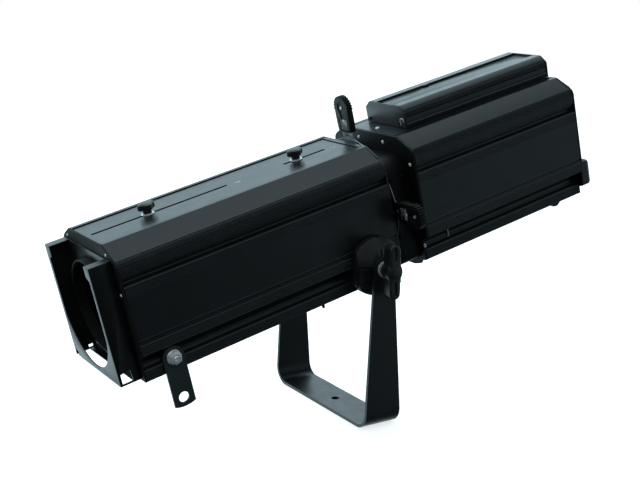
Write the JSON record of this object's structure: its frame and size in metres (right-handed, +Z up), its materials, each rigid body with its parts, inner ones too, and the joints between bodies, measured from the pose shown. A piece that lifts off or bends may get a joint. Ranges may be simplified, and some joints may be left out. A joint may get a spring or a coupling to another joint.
{
  "type": "ellipsoidal spotlight",
  "caption": "Black stage profile spotlight on a U-shaped yoke: ribbed lens barrel with sliding lenses, shutters, lamphouse, colour frame holder and safety lug.",
  "frame": {"origin": "centre of the mounting bolt hole, on the outer (lower) face of the yoke's base strap", "axes": "+X backwards from the lens end to the lamp end, +Y to the side away from the safety lug, +Z up from the yoke's base towards the tilt axis"},
  "size_m": [0.8588, 0.3196, 0.5275],
  "materials": {
    "yoke": "satin black paint on steel strip",
    "tilt_drum_near": "moulded black plastic with a fine grain",
    "tilt_drum_far": "moulded black plastic with a fine grain",
    "tilt_washer_near": "bright zinc plate",
    "tilt_washer_far": "bright zinc plate",
    "barrel_side_near": "satin black paint on aluminium",
    "barrel_side_far": "satin black paint on aluminium",
    "barrel_top_plate": "satin black paint on aluminium",
    "barrel_bottom_plate": "satin black paint on aluminium",
    "barrel_front_plate": "satin black paint on aluminium",
    "barrel_rear_plate": "satin black paint on aluminium",
    "colour_frame_holder": "satin black paint on aluminium",
    "safety_lug_bolt": "bright zinc plate",
    "safety_lug_nut": "bright zinc plate",
    "guide_rod_near": "plain grey steel sheet or bar",
    "guide_rod_far": "plain grey steel sheet or bar",
    "gate_housing": "satin black paint on aluminium",
    "aperture_plate": "plain grey steel sheet or bar",
    "lamphouse_flange": "satin black paint on aluminium",
    "lamphouse_side_near": "satin black paint on aluminium",
    "lamphouse_side_far": "satin black paint on aluminium",
    "lamphouse_top_plate": "satin black paint on aluminium",
    "lamphouse_bottom_plate": "satin black paint on aluminium",
    "lamphouse_rear_plate": "satin black paint on aluminium",
    "cable_gland": "moulded black plastic with a fine grain",
    "vent_cover": "satin black paint on aluminium",
    "vent_cover_lid": "plain grey steel sheet or bar",
    "vent_cover_front_cap": "satin black paint on aluminium",
    "vent_cover_rear_cap": "satin black paint on aluminium",
    "reflector": "bright anodised aluminium",
    "reflector_bracket": "plain grey steel sheet or bar",
    "tilt_stud_near": "bright zinc plate",
    "tilt_stud_far": "bright zinc plate",
    "rear_cap": "satin black paint on aluminium",
    "lamp_tray": "plain grey steel sheet or bar",
    "lamp_holder": "matt ceramic",
    "lamp": "clear polished glass",
    "tilt_knob_near": "moulded black plastic with a fine grain",
    "tilt_knob_far": "moulded black plastic with a fine grain",
    "front_lens_carriage": "black anodised",
    "front_lens": "clear polished glass",
    "front_lens_ring": "black anodised",
    "front_lens_stud": "bright zinc plate",
    "front_lens_washer": "bright zinc plate",
    "rear_lens_carriage": "black anodised",
    "rear_lens": "clear polished glass",
    "rear_lens_ring": "black anodised",
    "rear_lens_stud": "bright zinc plate",
    "rear_lens_washer": "bright zinc plate",
    "front_lens_knob": "moulded black plastic with a fine grain",
    "rear_lens_knob": "moulded black plastic with a fine grain",
    "shutter_blade_top": "plain grey steel sheet or bar",
    "shutter_handle_top": "moulded black plastic with a fine grain",
    "shutter_blade_near": "plain grey steel sheet or bar",
    "shutter_handle_near": "moulded black plastic with a fine grain",
    "shutter_blade_bottom": "plain grey steel sheet or bar",
    "shutter_handle_bottom": "moulded black plastic with a fine grain",
    "shutter_blade_far": "plain grey steel sheet or bar",
    "shutter_handle_far": "moulded black plastic with a fine grain",
    "safety_lug": "satin black paint on aluminium"
  },
  "bodies": {
    "yoke": {"yoke": "yoke", "tilt_drum_near": "tilt_drum_near", "tilt_drum_far": "tilt_drum_far", "tilt_washer_near": "tilt_washer_near", "tilt_washer_far": "tilt_washer_far"},
    "housing": {"barrel_side_near": "barrel_side_near", "barrel_side_far": "barrel_side_far", "barrel_top_plate": "barrel_top_plate", "barrel_bottom_plate": "barrel_bottom_plate", "barrel_front_plate": "barrel_front_plate", "barrel_rear_plate": "barrel_rear_plate", "colour_frame_holder": "colour_frame_holder", "safety_lug_bolt": "safety_lug_bolt", "safety_lug_nut": "safety_lug_nut", "guide_rod_near": "guide_rod_near", "guide_rod_far": "guide_rod_far", "gate_housing": "gate_housing", "aperture_plate": "aperture_plate", "lamphouse_flange": "lamphouse_flange", "lamphouse_side_near": "lamphouse_side_near", "lamphouse_side_far": "lamphouse_side_far", "lamphouse_top_plate": "lamphouse_top_plate", "lamphouse_bottom_plate": "lamphouse_bottom_plate", "lamphouse_rear_plate": "lamphouse_rear_plate", "cable_gland": "cable_gland", "vent_cover": "vent_cover", "vent_cover_lid": "vent_cover_lid", "vent_cover_front_cap": "vent_cover_front_cap", "vent_cover_rear_cap": "vent_cover_rear_cap", "reflector": "reflector", "reflector_bracket": "reflector_bracket", "tilt_stud_near": "tilt_stud_near", "tilt_stud_far": "tilt_stud_far"},
    "lamp_carrier": {"rear_cap": "rear_cap", "lamp_tray": "lamp_tray", "lamp_holder": "lamp_holder", "lamp": "lamp"},
    "tilt_knob_near": {"tilt_knob_near": "tilt_knob_near"},
    "tilt_knob_far": {"tilt_knob_far": "tilt_knob_far"},
    "front_lens_carriage": {"front_lens_carriage": "front_lens_carriage", "front_lens": "front_lens", "front_lens_ring": "front_lens_ring", "front_lens_stud": "front_lens_stud", "front_lens_washer": "front_lens_washer"},
    "rear_lens_carriage": {"rear_lens_carriage": "rear_lens_carriage", "rear_lens": "rear_lens", "rear_lens_ring": "rear_lens_ring", "rear_lens_stud": "rear_lens_stud", "rear_lens_washer": "rear_lens_washer"},
    "front_lens_knob": {"front_lens_knob": "front_lens_knob"},
    "rear_lens_knob": {"rear_lens_knob": "rear_lens_knob"},
    "shutter_top": {"shutter_blade_top": "shutter_blade_top", "shutter_handle_top": "shutter_handle_top"},
    "shutter_near": {"shutter_blade_near": "shutter_blade_near", "shutter_handle_near": "shutter_handle_near"},
    "shutter_bottom": {"shutter_blade_bottom": "shutter_blade_bottom", "shutter_handle_bottom": "shutter_handle_bottom"},
    "shutter_far": {"shutter_blade_far": "shutter_blade_far", "shutter_handle_far": "shutter_handle_far"},
    "safety_lug": {"safety_lug": "safety_lug"}
  },
  "joints": [
    {"name": "housing_tilt", "type": "hinge", "parent": "yoke", "child": "housing", "pos_m": [0, 0, 0.244], "axis": [0, 1, 0], "range_deg": [-47, 73]},
    {"name": "lamp_carrier_slide", "type": "slide", "parent": "housing", "child": "lamp_carrier", "axis": [0.9744, 0, 0.225], "range_m": [0, 0.16]},
    {"name": "tilt_knob_near_turn", "type": "hinge", "parent": "housing", "child": "tilt_knob_near", "pos_m": [0, -0.147, 0.244], "axis": [0, -1, 0], "range_deg": [0, 360]},
    {"name": "tilt_knob_far_turn", "type": "hinge", "parent": "housing", "child": "tilt_knob_far", "pos_m": [0, 0.147, 0.244], "axis": [0, 1, 0], "range_deg": [0, 360]},
    {"name": "front_lens_slide", "type": "slide", "parent": "housing", "child": "front_lens_carriage", "axis": [0.9744, 0, 0.225], "range_m": [-0.08, 0.12]},
    {"name": "rear_lens_slide", "type": "slide", "parent": "housing", "child": "rear_lens_carriage", "axis": [0.9744, 0, 0.225], "range_m": [-0.018, 0.046]},
    {"name": "front_lens_knob_turn", "type": "hinge", "parent": "front_lens_carriage", "child": "front_lens_knob", "pos_m": [-0.30964, 0, 0.34493], "axis": [-0.225, 0, 0.9744], "range_deg": [0, 360]},
    {"name": "rear_lens_knob_turn", "type": "hinge", "parent": "rear_lens_carriage", "child": "rear_lens_knob", "pos_m": [-0.07189, 0, 0.39982], "axis": [-0.225, 0, 0.9744], "range_deg": [0, 360]},
    {"name": "shutter_top_slide", "type": "slide", "parent": "housing", "child": "shutter_top", "axis": [-0.225, 0, 0.9744], "range_m": [-0.02, 0.024]},
    {"name": "shutter_near_slide", "type": "slide", "parent": "housing", "child": "shutter_near", "axis": [0, -1, 0], "range_m": [-0.009, 0.036]},
    {"name": "shutter_bottom_slide", "type": "slide", "parent": "housing", "child": "shutter_bottom", "axis": [0.225, 0, -0.9744], "range_m": [-0.018, 0.027]},
    {"name": "shutter_far_slide", "type": "slide", "parent": "housing", "child": "shutter_far", "axis": [0, 1, 0], "range_m": [-0.012, 0.033]},
    {"name": "safety_lug_swing", "type": "hinge", "parent": "housing", "child": "safety_lug", "pos_m": [-0.31836, -0.094, 0.15819], "axis": [0, 1, 0], "range_deg": [-75, 75]}
  ]
}
